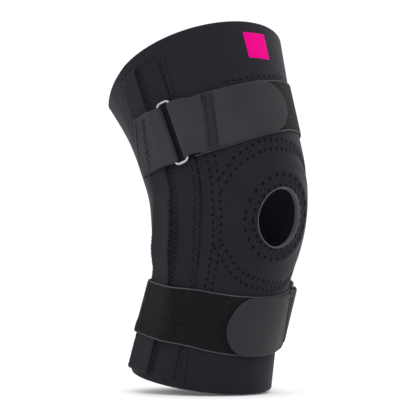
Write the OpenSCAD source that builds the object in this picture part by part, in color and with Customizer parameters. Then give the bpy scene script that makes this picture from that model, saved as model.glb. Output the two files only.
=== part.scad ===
// Knee brace: a neoprene sleeve with an open kneecap, geared side hinges in pockets, and two ring straps.
// Frame: origin midway between the hinge pivots at the knee, -Y to the front, +Z up, -X to the outer side.
// A place on the leg is an angle u round it from the front towards -X, a station s along its centre line
// up from the knee, and a height off above the face of the sleeve.

/* [Leg] */
// Lean of the thigh, and of the shin, from upright, in degrees
half_flex = 20; // [16:1:22]
// Length of centre line over which each half of the knee bends
bend_len = 60; // [58:1:64]
// Calf cuff: station, half width, depth to the front, depth to the back
calf_cuff = [-145, 61, 75, 65]; // [-145:1:75]
// Calf
calf = [-95, 61.5, 60.5, 65]; // [-95:1:66]
// Calf under the lower strap
under_strap = [-72, 60, 56, 63]; // [-72:0.5:64]
// Just below the kneecap
below_knee = [-45, 63, 57.2, 65.4]; // [-45:1:66]
// Knee
knee = [0, 65, 71, 72]; // [0:1:72]
// Just above the kneecap
above_knee = [45, 69, 82, 70]; // [45:1:82]
// Thigh under the upper strap
thigh = [95, 75, 77, 75]; // [75:1:95]
// Thigh cuff
thigh_cuff = [155, 83, 76, 94]; // [76:1:155]
// Height of the blunt corners of the thigh cuff behind
corner_h = 4.5; // [0:0.5:5]
// How far the panel over the kneecap bulges
bulge_h = 8; // [4:0.5:10]

/* [Sleeve] */
// Thickness of the neoprene
wall = 4; // [3:0.5:5]
// Station of the upper rim on the centre line
rim_top = 154; // [150:1:156]
// Station of the lower rim on the centre line
rim_low = -144; // [-146:1:-138]
// Tilt of both rims, which sets them lower at the back, in degrees
rim_tilt = 10; // [6:1:12]
// Tilt of the upper rim behind the thigh, in degrees
rear_tilt = 14; // [10:1:15]
// Width of the kneecap opening
opening_w = 44; // [40:1:50]
// Height of the kneecap opening
opening_h = 53; // [48:1:56]
// How far the opening's middle lies towards -X
opening_shift = 3.5; // [0:0.5:5]
// Height of the knee section's edges at the front, each way from the hinges
knee_front_z = 54; // [50:1:58]
// Height of the knee section's edges at the back
knee_back_z = 74; // [68:1:80]

/* [Hinge pockets] */
// Angle of the pocket's front edge
pocket_front = 62; // [61:1:63]
// Angle of the seam between the pocket's two channels at the knee
pocket_mid = 82.4; // [82:0.1:83]
// Angle of the pocket's rear edge at the knee
pocket_rear = 105.5; // [105:0.5:108]
// Thickness of the pocket fabric
pocket_wall = 1.2; // [0.8:0.1:1.5]

/* [Hinges] */
// Angle of each arm from the line of the hinge plates, in degrees
arm_lean = 15; // [14:0.5:16]
// Forward tilt of the line of the hinge plates, in degrees
hinge_tilt = 2.5; // [2:0.5:3]
// Distance of the hinge behind the centre line
pivot_back = 3.5; // [3:0.5:4]
// Teeth on a full circle of each gear
gear_teeth = 16; // [16:1:16]
// Gear module
gear_module = 0.9; // [0.9:0.1:0.9]
// Thickness of the arms
arm_t = 1.3; // [1.2:0.1:1.4]
// Width of the arms
arm_w = 12; // [10:1:12]
// Length of the thigh arms from their pivot
thigh_arm_len = 118; // [100:1:120]
// Length of the shin arms from their pivot
shin_arm_len = 108; // [100:1:112]
// Radius of the rivet shafts
rivet_r = 2.2; // [2:0.1:2.4]

/* [Straps] */
// Width of the straps
strap_w = 50; // [46:1:51]
// Thickness of the strap webbing
strap_t = 1.6; // [1.2:0.1:1.8]
// Radius of the rings' wire
wire_r = 1.2; // [1.2:0.1:1.5]
// Station of the upper strap beside its ring
upper_station = 76.5; // [76:0.5:78]
// Station of the lower strap in front
lower_station = -71.5; // [-73:0.5:-71]
// Angle at which the upper hook tab ends, past the front
upper_tab_end = -16; // [-22:1:-12]
// Angle at which the lower hook tab ends, past the front
lower_tab_end = -28; // [-32:1:-20]

/* [Hidden] */
$fn = 48;

UP = 1;                              // the thigh's half, and the upper strap
DOWN = -1;                           // the shin's half, and the lower strap
stations = [calf_cuff, calf, under_strap, below_knee, knee, above_knee, thigh, thigh_cuff];
HALF_WIDTH = 1;                      // columns of the stations
FRONT = 2;
BACK = 3;
bend_r = bend_len * 180 / (PI * half_flex);
bulge_station = 6;
bulge_w = 80;
bulge_len = 62;
corner_u = 131.4;
corner_w = 14;
gap = 0.3;

// ---------- shape of the leg ----------
function smooth(t) = let(c = min(1, max(0, t))) c * c * (3 - 2 * c);
function secant(c, i, k) = (stations[k][c] - stations[i][c]) / (stations[k][0] - stations[i][0]);
function slope(c, i) = secant(c, max(0, i - 1), min(len(stations) - 1, i + 1));
function interval(s, i = 0) = i >= len(stations) - 2 || s <= stations[i + 1][0] ? i : interval(s, i + 1);
// Column c of the stations at s, on a cubic through them
function girth(c, s) =
  let(i = interval(s), h = stations[i + 1][0] - stations[i][0], t = (s - stations[i][0]) / h)
  (2 * t ^ 3 - 3 * t ^ 2 + 1) * stations[i][c] + (t ^ 3 - 2 * t ^ 2 + t) * h * slope(c, i)
  + (3 * t ^ 2 - 2 * t ^ 3) * stations[i + 1][c] + (t ^ 3 - t ^ 2) * h * slope(c, i + 1);
function bent(s) = min(bend_len, max(-bend_len, s));
function lean(s) = half_flex * bent(s) / bend_len;
function centre(s) =
  let(past = s - bent(s))
  [bend_r * (1 - cos(lean(s))) + past * sin(lean(s)), bend_r * sin(lean(s)) + past * cos(lean(s))];
function depth(u, s) = girth(cos(u) > 0 ? FRONT : BACK, s);
function bulge(x, s, u) =
  cos(u) > 0 ? bulge_h * (1 - smooth(norm([x / bulge_w, (s - bulge_station) / bulge_len]))) : 0;
function corner(u, s) =
  let(v = abs(u) > 180 ? 360 - abs(u) : abs(u))
  cos(u) > 0 ? 0 : corner_h * exp(-abs(v - corner_u) / corner_w) * smooth((s - 95) / 60);
function on_leg(u, s, off = 0) =
  let(a = girth(HALF_WIDTH, s), d = depth(u, s), n = -[sin(u) / a, cos(u) / d] / norm([sin(u) / a, cos(u) / d]),
      h = off + bulge(-a * sin(u), s, u) + corner(u, s), x = -a * sin(u) + h * n[0], y = -d * cos(u) + h * n[1], c = centre(s))
  [x, c[0] + y * cos(lean(s)), c[1] - y * sin(lean(s))];
function rim(u, s0) = s0 + tan(cos(u) < 0 && s0 > 0 ? rear_tilt : rim_tilt) * depth(u, s0) * cos(u);
// The station at which the sleeve's face at angle u crosses height z
function station_at(u, z, low = -150, high = 150, n = 16) =
  n == 0 ? (low + high) / 2
  : let(m = (low + high) / 2)
    on_leg(u, m)[2] < z ? station_at(u, z, m, high, n - 1) : station_at(u, z, low, m, n - 1);

// ---------- sheets that follow the leg ----------
// Faces of a closed sheet of n by m cells, the outer grid's points first and then the inner's
function sheet_faces(n, m, joined = false) =
  let(columns = joined ? n : n + 1, in = columns * (m + 1),
      at = function(i, j) (joined ? i % n : i) * (m + 1) + j)
  [for (i = [0:n - 1]) each concat(
    [for (j = [0:m - 1]) each [
      [at(i, j), at(i + 1, j), at(i + 1, j + 1)], [at(i, j), at(i + 1, j + 1), at(i, j + 1)],
      [in + at(i, j), in + at(i + 1, j + 1), in + at(i + 1, j)],
      [in + at(i, j), in + at(i, j + 1), in + at(i + 1, j + 1)]]],
    [[at(i + 1, 0), at(i, 0), in + at(i, 0)], [at(i + 1, 0), in + at(i, 0), in + at(i + 1, 0)],
     [at(i, m), at(i + 1, m), in + at(i + 1, m)], [at(i, m), in + at(i + 1, m), in + at(i, m)]]),
   if (!joined) for (j = [0:m - 1]) each [
     [at(0, j), at(0, j + 1), in + at(0, j + 1)], [at(0, j), in + at(0, j + 1), in + at(0, j)],
     [at(n, j + 1), at(n, j), in + at(n, j + 1)], [at(n, j), in + at(n, j), in + at(n, j + 1)]]];
// place(i, j) gives [u, s] of a grid point; inner(u, s) and outer(u, s) give the heights of the two faces
module sheet(n, m, place, inner, outer, joined = false) {
  columns = joined ? n - 1 : n;
  face = function(off)
    [for (i = [0:columns]) for (j = [0:m]) let(p = place(i, j)) on_leg(p[0], p[1], off(p[0], p[1]))];
  polyhedron(concat(face(outer), face(inner)), sheet_faces(n, m, joined), convexity = 8);
}
// A grid between two angles and, at each angle, two stations
function span(u0, u1, n, low, high, m) =
  function(i, j) let(u = u0 + (u1 - u0) * i / n) [u, low(u) + (high(u) - low(u)) * j / m];

// ---------- sleeve ----------
top_rim = function(u) rim(u, rim_top);
low_rim = function(u) rim(u, rim_low);
function knee_edge(u) = knee_front_z + (knee_back_z - knee_front_z) * (1 - cos(u)) / 2;
thigh_edge = function(u) station_at(u, knee_edge(u));
shin_edge = function(u) station_at(u, -knee_edge(u));
knee_top = function(u) station_at(u, knee_edge(u) - gap);
knee_low = function(u) station_at(u, gap - knee_edge(u));

module panel(u0, u1, low, high, m) {
  n = ceil((u1 - u0) / 7);
  color("#26252b") sheet(n, m, span(u0, u1, n, low, high, m), function(u, s) -wall, function(u, s) 0);
}
module front_panel(low, high, m) { panel(-pocket_front, pocket_front, low, high, m); }
module rear_panel(low, high, m) { panel(pocket_front, 360 - pocket_front, low, high, m); }
module thigh_front_panel() { front_panel(thigh_edge, top_rim, 7); }
module thigh_rear_panel() { rear_panel(thigh_edge, top_rim, 7); }
module shin_front_panel() { front_panel(low_rim, shin_edge, 7); }
module shin_rear_panel() { rear_panel(low_rim, shin_edge, 7); }
module popliteal_panel() { rear_panel(knee_low, knee_top, 10); }

opening_z = on_leg(0, bulge_station)[2];
module knee_front_panel() {
  difference() {
    front_panel(knee_low, knee_top, 10);
    translate([-opening_shift, -40, opening_z]) rotate([90, 0, 0]) scale([opening_w / opening_h, 1, 1])
      cylinder(r = opening_h / 2, h = 80);
  }
}
// Foam ring that holds the kneecap, inside the sleeve round its opening
pad_t = 3;
pad_start = 1.06;                    // the ring's inner and outer edges, as multiples of the opening
pad_end = 1.6;
module kneecap_ring_pad() {
  n = 36;
  m = 4;
  // the skin in front spreads as the knee bends, so a length there spans fewer stations
  spread = 1 + (knee[FRONT] + bulge_h) * half_flex * PI / 180 / bend_len;
  place = function(i, j)
    let(k = pad_start + (pad_end - pad_start) * j / m, s = bulge_station + k * opening_h / 2 * sin(360 * i / n) / spread,
        x = opening_shift + k * opening_w / 2 * cos(360 * i / n))
    [asin(x / (girth(HALF_WIDTH, s) + bulge_h / 2)), s];
  rounding = function(u, s)
    let(k = norm([(girth(HALF_WIDTH, s) * sin(u) - opening_shift) / opening_w, (s - bulge_station) * spread / opening_h]) * 2)
    pad_t * (0.35 + 0.65 * sin(180 * min(1, max(0, (k - pad_start) / (pad_end - pad_start)))));
  color("#3a3a40") sheet(n, m, place, function(u, s) -wall - 1.5 * gap - rounding(u, s),
                         function(u, s) -wall - 1.5 * gap, true);
}
label_size = 25;
label_u = -6;
label_station = 143.5;
label_t = 0.6;
module label_patch() {
  half_u = label_size / 2 * 180 / (PI * thigh_cuff[FRONT]);
  place = span(label_u - half_u, label_u + half_u, 4, function(u) label_station - label_size / 2,
               function(u) label_station + label_size / 2, 4);
  color("#e6007e") sheet(4, 4, place, function(u, s) gap, function(u, s) gap + label_t);
}

// ---------- hinge ----------
// Drawn on the +X side, which is the medial one; the lateral hinge is its mirror image
pitch_r = gear_module * gear_teeth / 2;
tip_r = pitch_r + gear_module * 0.9;
root_r = pitch_r - gear_module * 1.2;
pressure = 22;
mesh_slack = 0.12;
plate_t = 0.7;
washer_t = 0.15;
head_t = 0.4;
head_r = 3.6;
running = 0.05;
hinge_x = girth(HALF_WIDTH, pitch_r + tip_r) + gap;
gear_x = hinge_x + head_t + plate_t + washer_t + running;
hinge_top = gear_x + arm_t + running + washer_t + plate_t + head_t;
seat_len = 16;                       // flat length of an arm beside its pivot
joggle = 18;                         // length over which it then moves to the sleeve
arm_clear = 0.95;
stop_w = 2;
cap_len = 16;
cap_t = 0.5;

function involute(r, t) = r * [cos(t) + t * PI / 180 * sin(t), sin(t) - t * PI / 180 * cos(t)];
function turn(p, a) = [p[0] * cos(a) - p[1] * sin(a), p[0] * sin(a) + p[1] * cos(a)];
// The gear's outline, with a tooth on the x axis
module gear_outline() {
  base = pitch_r * cos(pressure);
  unwound = function(r) sqrt(r ^ 2 / base ^ 2 - 1) * 180 / PI;
  at_pitch = involute(base, unwound(pitch_r));
  half_tooth = 90 / gear_teeth - mesh_slack * 90 / (PI * pitch_r);
  start = half_tooth + atan2(at_pitch[1], at_pitch[0]);
  flank = concat([turn([root_r, 0], -start)],
                 [for (k = [0:4]) turn(involute(base, unwound(tip_r) * k / 4), -start)]);
  tooth = concat(flank, [for (k = [len(flank) - 1:-1:0]) [flank[k][0], -flank[k][1]]]);
  polygon([for (g = [0:gear_teeth - 1]) each [for (p = tooth) turn(p, g * 360 / gear_teeth)]]);
}
// Lean of an arm from upright
function arm_slope(way) = arm_lean - way * hinge_tilt;
// Station beside the point at distance t along an arm
function arm_station(way, t) =
  way * (t * cos(half_flex - arm_slope(way)) + bend_len - bend_r * sin(half_flex)
         + pivot_back * sin(half_flex) + pitch_r * cos(half_flex));
// How far the cap on the arm's end has begun at distance t
function capped(way, t) = smooth((t - (way == UP ? thigh_arm_len : shin_arm_len) + cap_len + 10) / 8);
function arm_face(way, t) =
  gear_x + (girth(HALF_WIDTH, arm_station(way, t)) + arm_clear + cap_t * capped(way, t) - gear_x)
         * smooth((t - seat_len) / joggle);
// The bent strip of an arm, seen from the front
module arm_strip(way, length, grow) {
  steps = [0:6:length + 6];
  inner = [for (t = steps) [arm_face(way, t) - grow, t]];
  polygon(concat(inner, [for (k = [len(inner) - 1:-1:0]) inner[k] + [arm_t + 2 * grow, 0]]));
}
// Seen from the side, from distance t0 to the arm's rounded end
module arm_outline(length, t0, grow) {
  translate([-arm_w / 2 - grow, t0]) square([arm_w + 2 * grow, length - arm_w / 2 - t0]);
  translate([0, length - arm_w / 2]) circle(r = arm_w / 2 + grow);
}
// Lays a side view's outline in the plane of the hinge, from x0 to x1
module from_side(x0, x1) { translate([x0, 0, 0]) rotate([90, 0, 90]) linear_extrude(x1 - x0) children(); }
module arm_bar(way, length, t0, grow = 0) {
  intersection() {
    rotate([90, 0, 0]) linear_extrude(arm_w + 4, center = true) arm_strip(way, length, grow);
    from_side(50, 95) arm_outline(length, t0, grow);
  }
}
// Moves what is drawn round an upright hinge at the origin to the knee
module at_hinge() { translate([0, pivot_back, 0]) rotate([hinge_tilt, 0, 0]) children(); }
// Moves an arm drawn with its pivot at the origin and its length up +Z to its place
module at_pivot(way) {
  at_hinge() translate([0, 0, way * pitch_r]) mirror([0, 0, way == UP ? 0 : 1]) rotate([-arm_lean, 0, 0])
    children();
}
module hinge_arm(way, length) {
  phase = way == UP ? 0 : 180 / gear_teeth;
  color("#9a9ca0") at_pivot(way) difference() {
    union() {
      from_side(gear_x, gear_x + arm_t) {
        rotate(phase - 90) gear_outline();
        translate([-arm_w / 2, 3]) square([arm_w, 6]);
        // the shoulder that meets the other arm's when the leg is straight
        polygon([[-tip_r - stop_w, gap / 2 - pitch_r], [-tip_r - gap, gap / 2 - pitch_r], [-tip_r - gap, -2],
                 [-5, 5], [1 - arm_w / 2, seat_len], [-tip_r - stop_w, 5]]);
      }
      arm_bar(way, length, 4);
    }
    translate([gear_x - 1, 0, 0]) rotate([0, 90, 0]) cylinder(r = rivet_r + running, h = arm_t + 2);
  }
}
module arm_cap(way, length) {
  color("#151517") at_pivot(way) difference() {
    arm_bar(way, length, length - cap_len, cap_t);
    arm_bar(way, length, 4);
  }
}
module hinge_plate(x0) {
  r = tip_r + 0.4;
  color("#7d8086") at_hinge() difference() {
    from_side(x0, x0 + plate_t) {
      for (z = [-pitch_r, pitch_r]) translate([0, z]) circle(r = r);
      translate([-r, -pitch_r]) square([2 * r, 2 * pitch_r]);
    }
    for (z = [-pitch_r, pitch_r])
      translate([x0 - 1, 0, z]) rotate([0, 90, 0]) cylinder(r = rivet_r, h = plate_t + 2);
  }
}
module rivet(way) {
  shaft = hinge_top - hinge_x - 2 * head_t;
  color("#c4c6ca") at_hinge() translate([hinge_x, 0, way * pitch_r]) rotate([0, 90, 0]) {
    cylinder(r = head_r, h = head_t);
    translate([0, 0, head_t]) cylinder(r = rivet_r, h = shaft);
    translate([0, 0, head_t + shaft]) cylinder(r = head_r, h = head_t);
  }
}
module washers() {
  color("#e8e6df") at_hinge() for (z = [-pitch_r, pitch_r])
    for (x = [gear_x - running - washer_t, gear_x + arm_t + running]) translate([x, 0, z]) rotate([0, 90, 0]) difference() {
      cylinder(r = root_r - 0.6, h = washer_t);
      translate([0, 0, -1]) cylinder(r = rivet_r + running, h = washer_t + 2);
    }
}
module lateral() { mirror([1, 0, 0]) children(); }

// ---------- hinge pockets ----------
// Drawn on the -X side, which is the lateral one; the medial pocket is its mirror image
rear_slant = 0.05;                   // how far the seams come forward up the leg, in degrees a millimetre
mid_slant = 0.022;
function rear_edge(s) = pocket_rear - rear_slant * s;
function mid_seam(s) = pocket_mid - mid_slant * s;
// Outer face of the hinge and its arms at station s
function hardware_x(s) =
  let(way = s > 0 ? UP : DOWN, t = abs(s - arm_station(way, 0)),
      arm_x = arm_face(way, t) + arm_t + cap_t * capped(way, t))
  hinge_top + (arm_x - hinge_top) * smooth((abs(s) - 18) / 12);
channel_up = [0.2, 2];               // the channel's rise, in degrees behind the middle seam
channel_down = [-4, -0.8];           // its fall, from the rear edge
function ramp(v, ends) = smooth((v - ends[0]) / (ends[1] - ends[0]));
// Height at which something at angle u just clears the hinge and its arms
function over_hardware(u, s) = (hardware_x(s) + 0.85) / sin(u) - girth(HALF_WIDTH, s);
pocket_inner = function(u, s)
  gap + max(0, over_hardware(u, s) - gap) * ramp(u - mid_seam(s), channel_up)
      * (1 - ramp(u - rear_edge(s), channel_down));
pocket_outer = function(u, s) pocket_inner(u, s) + pocket_wall;
// Angles of the pocket's grid, close together where its face is steep
function pocket_angles(s) =
  let(f = pocket_front + 0.3, c = mid_seam(s), r = rear_edge(s), rise = c + channel_up[0], crest = c + channel_up[1],
      fall = r + channel_down[0], foot = r + channel_down[1])
  concat([for (k = [0:3]) f + (rise - f) * k / 4], [for (k = [0:3]) rise + (crest - rise) * k / 3],
         [for (k = [1:4]) crest + (fall - crest) * k / 4], [for (k = [1:3]) fall + (foot - fall) * k / 3], [r]);
rim_land = 12;                       // sleeve left bare between the pocket and the upper rim
low_land = 6;                        // and between the pocket and the lower rim
module pocket(low, high, m) {
  place = function(i, j)
    let(rough = pocket_angles(0)[i], s = low(rough) + (high(rough) - low(rough)) * j / m) [pocket_angles(s)[i], s];
  color("#222226") sheet(len(pocket_angles(0)) - 1, m, place, pocket_inner, pocket_outer);
}
module thigh_pocket() { pocket(thigh_edge, function(u) rim(u, rim_top) - rim_land, 7); }
module knee_pocket() { pocket(knee_low, knee_top, 16); }
module shin_pocket() { pocket(function(u) rim(u, rim_low) + low_land, shin_edge, 7); }
module medial() { mirror([1, 0, 0]) children(); }

// ---------- straps ----------
// Drawn as the upper strap runs, with its ring on the -X side; the lower strap's ring is on the +X side
ring_u = 69;
band_rear = 119;                     // where the pile band is sewn down, past the front
anchor_rear = 100.5;                 // where the anchor loop is sewn down, at the strap's middle
anchor_slant = 0.286;                // its slant, in degrees a millimetre
return_end = 44;                     // where the webbing that comes back from the ring ends
tab_start = 46.75;                   // where the hook tab starts, on top of it, at its middle
tab_slant = 0.165;                   // the slant of that start, in degrees a millimetre
tab_round = 20;                      // angle over which the tab's end is rounded
ring_w = 13;                         // distance between the ring's two long bars
ring_corner = 4;
loop_slack = 0.4;
loop_r = wire_r + loop_slack;
hook_t = 0.8;
hook_margin = 4;
ring_len = strap_w + 5 + 2 * wire_r;

upper_climb = 16;                    // how far the upper strap climbs towards its far side
lower_drop = 9.6;                    // how far the lower strap drops there
function strap_mid(which, u) =
  which == UP ? upper_station + upper_climb * smooth((60 - u) / 140)
  : lower_station - lower_drop * smooth((-50 - u) / 75);
function strap_low(which) = function(u) strap_mid(which, u) - strap_w / 2;
function strap_high(which) = function(u) strap_mid(which, u) + strap_w / 2;
// Distance of the sleeve's face from the centre line
function reach(u, s) = norm([girth(HALF_WIDTH, s) * sin(u), depth(u, s) * cos(u)]);
// Height of the straight line between the strap's edges above the sleeve
function taut(which, u, s) =
  let(low = strap_low(which)(u), high = strap_high(which)(u), q = (s - low) / (high - low))
  max(0, reach(u, low) * (1 - q) + reach(u, high) * q - reach(u, s));
// Height of the strap's under face, which rides over a pocket on either side
ring_side_rise = [-7, 0.5];          // from the middle seam, where the ring leaves little room
far_side_rise = [-20, 0.5];
strap_fall = [-4, 9];               // from the rear edge
function strap_under(which, u, s) =
  let(v = abs(u), on_pocket = ramp(v, [pocket_front - 6, pocket_front - 0.5]) * (1 - ramp(v - rear_edge(s), [0.5, 7])),
      hump = ramp(v - mid_seam(s), u > 0 ? ring_side_rise : far_side_rise) * (1 - ramp(v - rear_edge(s), strap_fall)))
  gap + 0.1 + (gap + pocket_wall) * on_pocket
  + max(0, over_hardware(max(45, min(v, rear_edge(s) + 2)), s) - gap) * hump + taut(which, u, s);
wire_off = gap + 0.3 + gap + pocket_wall + strap_t + loop_r;
loop_top = wire_off + loop_r;

// The ring's middle and its directions: rearwards, out of the leg, and along its bars
ring_low = function(which) on_leg(ring_u, strap_low(which)(ring_u), wire_off);
ring_high = function(which) on_leg(ring_u, strap_high(which)(ring_u), wire_off);
function unit(v) = v / norm(v);
function degrees(arc, r) = arc / r * 180 / PI;
function ring_frame(which) =
  let(along = unit(ring_high(which) - ring_low(which)), station = strap_mid(which, ring_u),
      rearwards = on_leg(ring_u + 4, station, wire_off) - on_leg(ring_u - 4, station, wire_off),
      out = -unit(cross(rearwards, along)))
  [(ring_low(which) + ring_high(which)) / 2, -cross(along, out), out, along];
// Angle, at station s, of the bar on the given side of the ring
function bar_angle(side, s) = ring_u + degrees(side * ring_w / 2, reach(ring_u, s) + wire_off);
// A point beside the bar: rearwards and out of it, level with station s
function by_bar(which, side, s, rearwards, out) =
  let(f = ring_frame(which), q = (s - strap_mid(which, ring_u)) / strap_w * norm(ring_high(which) - ring_low(which)))
  f[0] + f[1] * (side * ring_w / 2 + rearwards) + f[2] * out + f[3] * q;
module in_ring_frame(which) {
  f = ring_frame(which);
  multmatrix([for (k = [0:2]) [f[1][k], f[2][k], f[3][k], f[0][k]]]) children();
}
module ring(which) {
  straight = ring_len / 2 - ring_corner;
  across = ring_w / 2 - ring_corner;
  color("#b9bbbf") in_ring_frame(which) {
    for (x = [-ring_w / 2, ring_w / 2]) translate([x, 0, -straight]) cylinder(r = wire_r, h = 2 * straight);
    for (z = [-ring_len / 2, ring_len / 2])
      translate([-across, 0, z]) rotate([0, 90, 0]) cylinder(r = wire_r, h = 2 * across);
    for (x = [0, 1]) for (z = [0, 1])
      mirror([x, 0, 0]) mirror([0, 0, z]) translate([across, 0, straight]) rotate([90, 0, 0])
        rotate_extrude(angle = 90) translate([ring_corner, 0]) circle(r = wire_r, $fn = 32);
  }
}
// A strap's layer from angle u0 to u1, standing on the face under(u, s)
module layer(which, u0, u1, n, under, thick = strap_t) {
  sheet(n, 4, span(u0, u1, n, strap_low(which), strap_high(which), 4), under, function(u, s) under(u, s) + thick);
}
module pile_band(which) {
  layer(which, -band_rear, band_end, 54, function(u, s) strap_under(which, u, s));
}
// Webbing whose middle runs through the points path(k, s), for k from 0 to n
module ribbon(which, n, m, path) {
  mid = [for (k = [0:n]) [for (j = [0:m]) path(k, strap_mid(which, ring_u) + strap_w * (j / m - 0.5))]];
  normal = function(k, j)
    unit(cross(mid[k][min(m, j + 1)] - mid[k][max(0, j - 1)], mid[min(n, k + 1)][j] - mid[max(0, k - 1)][j]));
  color("#3a3b40") polyhedron(
    [for (side = [-1, 1]) for (k = [0:n]) for (j = [0:m]) mid[k][j] + side * strap_t / 2 * normal(k, j)],
    sheet_faces(n, m), convexity = 8);
}
turn_r = loop_r + strap_t / 2;
function between(a, b, t) = a + (b - a) * t;
// A point of the turn of webbing round a bar, at angle a from straight behind the bar
function round_bar(which, side, s, a) = by_bar(which, side, s, turn_r * cos(a), turn_r * sin(a));
// A point at angle u of the straight run that leaves the turn at height out
function beside_bar(which, side, s, u, out) =
  by_bar(which, side, s, (u - bar_angle(side, s)) * PI / 180 * (reach(ring_u, s) + wire_off), out);
module anchor_loop(which) {
  rear = function(s) anchor_rear - anchor_slant * (s - strap_mid(which, ring_u));
  lower = function(t, s) let(u = between(rear(s), bar_angle(1, s), t))
    between(on_leg(u, s, strap_under(which, u, s) + strap_t / 2 + 0.1), beside_bar(which, 1, s, u, -turn_r), smooth(t * 4 - 3));
  upper = function(t, s) let(u = between(bar_angle(1, s), rear(s), t))
    between(beside_bar(which, 1, s, u, turn_r), on_leg(u, s, strap_under(which, u, s) + 1.5 * strap_t + 0.25),
            smooth(t * 2.2));
  path = function(k, s)
    k <= 8 ? lower(k / 8, s) : k < 16 ? round_bar(which, 1, s, -90 - 180 * (k - 8) / 8) : upper((k - 16) / 10, s);
  ribbon(which, 26, 4, path);
}
band_end = bar_angle(-1, upper_station) - degrees(4.8, knee[HALF_WIDTH]);
function band_top(which, u, s) = strap_under(which, u, s) + strap_t + gap;
// How far the webbing has risen from the pile band to the ring at angle u
function risen(u, s) = smooth((u - bar_angle(-1, s) + 14) / 12);
module return_strap(which) {
  upper = function(t, s) let(u = between(bar_angle(-1, s), return_end, t))
    between(on_leg(u, s, band_top(which, u, s) + strap_t / 2), beside_bar(which, -1, s, u, turn_r), risen(u, s));
  path = function(k, s) k <= 8 ? round_bar(which, -1, s, -90 + 180 * k / 8) : upper((k - 8) / 8, s);
  ribbon(which, 16, 4, path);
}
function tab_under(which, u, s) =
  band_top(which, u, s) + hook_t
  + ((wire_off + turn_r + taut(which, u, s) - strap_t / 2 - band_top(which, u, s)) * risen(u, s) + strap_t + 0.15 - hook_t)
    * smooth((u - return_end + 9) / 8);
// Half width of a strap whose end at angle u0 is rounded
function rounded(u, u0, half) = half * (u > u0 + tab_round ? 1 : sqrt(max(0.02, 1 - ((u0 + tab_round - u) / tab_round) ^ 2)));
// A grid along a strap with a rounded end, its columns closer together at the end
function rounded_span(which, u0, u1, half, slant, n, m) =
  function(i, j)
    let(k = n / 2, u = i < k ? u0 + tab_round * (1 - cos(90 * i / k)) : u0 + tab_round + (u1 - u0 - tab_round) * (i - k) / k,
        h = rounded(u, u0, half) * (2 * j / m - 1))
    [u - slant * h * max(0, i / k - 1), strap_mid(which, u) + h];
module hook_tab(which, end) {
  color("#3d3e44") sheet(24, 4, rounded_span(which, end, tab_start, strap_w / 2, tab_slant, 24, 4),
    function(u, s) tab_under(which, u, s), function(u, s) tab_under(which, u, s) + strap_t);
}
module hook_patch(which, end) {
  color("#1b1b1e") sheet(20, 4, rounded_span(which, end + hook_margin, return_end - 10, strap_w / 2 - hook_margin, 0, 20, 4),
    function(u, s) tab_under(which, u, s) - hook_t + 0.05, function(u, s) tab_under(which, u, s) - 0.15);
}
module lower_side() { mirror([1, 0, 0]) children(); }

// ---------- what each node draws ----------
thigh_front_panel();
thigh_rear_panel();
knee_front_panel();
popliteal_panel();
shin_front_panel();
shin_rear_panel();
kneecap_ring_pad();
label_patch();
thigh_pocket();  // lateral_thigh_pocket
knee_pocket();  // lateral_knee_pocket
shin_pocket();  // lateral_shin_pocket
medial() thigh_pocket();  // medial_thigh_pocket
medial() knee_pocket();  // medial_knee_pocket
medial() shin_pocket();  // medial_shin_pocket
lateral() hinge_arm(UP, thigh_arm_len);  // lateral_thigh_arm
lateral() hinge_arm(DOWN, shin_arm_len);  // lateral_shin_arm
lateral() hinge_plate(hinge_x + head_t);  // lateral_inner_plate
lateral() hinge_plate(hinge_top - head_t - plate_t);  // lateral_outer_plate
lateral() rivet(UP);  // lateral_upper_rivet
lateral() rivet(DOWN);  // lateral_lower_rivet
lateral() washers();  // lateral_washers
lateral() arm_cap(UP, thigh_arm_len);  // lateral_thigh_arm_cap
lateral() arm_cap(DOWN, shin_arm_len);  // lateral_shin_arm_cap
hinge_arm(UP, thigh_arm_len);  // medial_thigh_arm
hinge_arm(DOWN, shin_arm_len);  // medial_shin_arm
hinge_plate(hinge_x + head_t);  // medial_inner_plate
hinge_plate(hinge_top - head_t - plate_t);  // medial_outer_plate
rivet(UP);  // medial_upper_rivet
rivet(DOWN);  // medial_lower_rivet
washers();  // medial_washers
arm_cap(UP, thigh_arm_len);  // medial_thigh_arm_cap
arm_cap(DOWN, shin_arm_len);  // medial_shin_arm_cap
anchor_loop(UP);  // upper_anchor_loop
ring(UP);  // upper_ring
pile_band(UP);  // upper_pile_band
return_strap(UP);  // upper_return_strap
hook_tab(UP, upper_tab_end);  // upper_hook_tab
hook_patch(UP, upper_tab_end);  // upper_hook_patch
lower_side() anchor_loop(DOWN);  // lower_anchor_loop
lower_side() ring(DOWN);  // lower_ring
lower_side() pile_band(DOWN);  // lower_pile_band
lower_side() return_strap(DOWN);  // lower_return_strap
lower_side() hook_tab(DOWN, lower_tab_end);  // lower_hook_tab
lower_side() hook_patch(DOWN, lower_tab_end);  // lower_hook_patch
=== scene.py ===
import math

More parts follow.
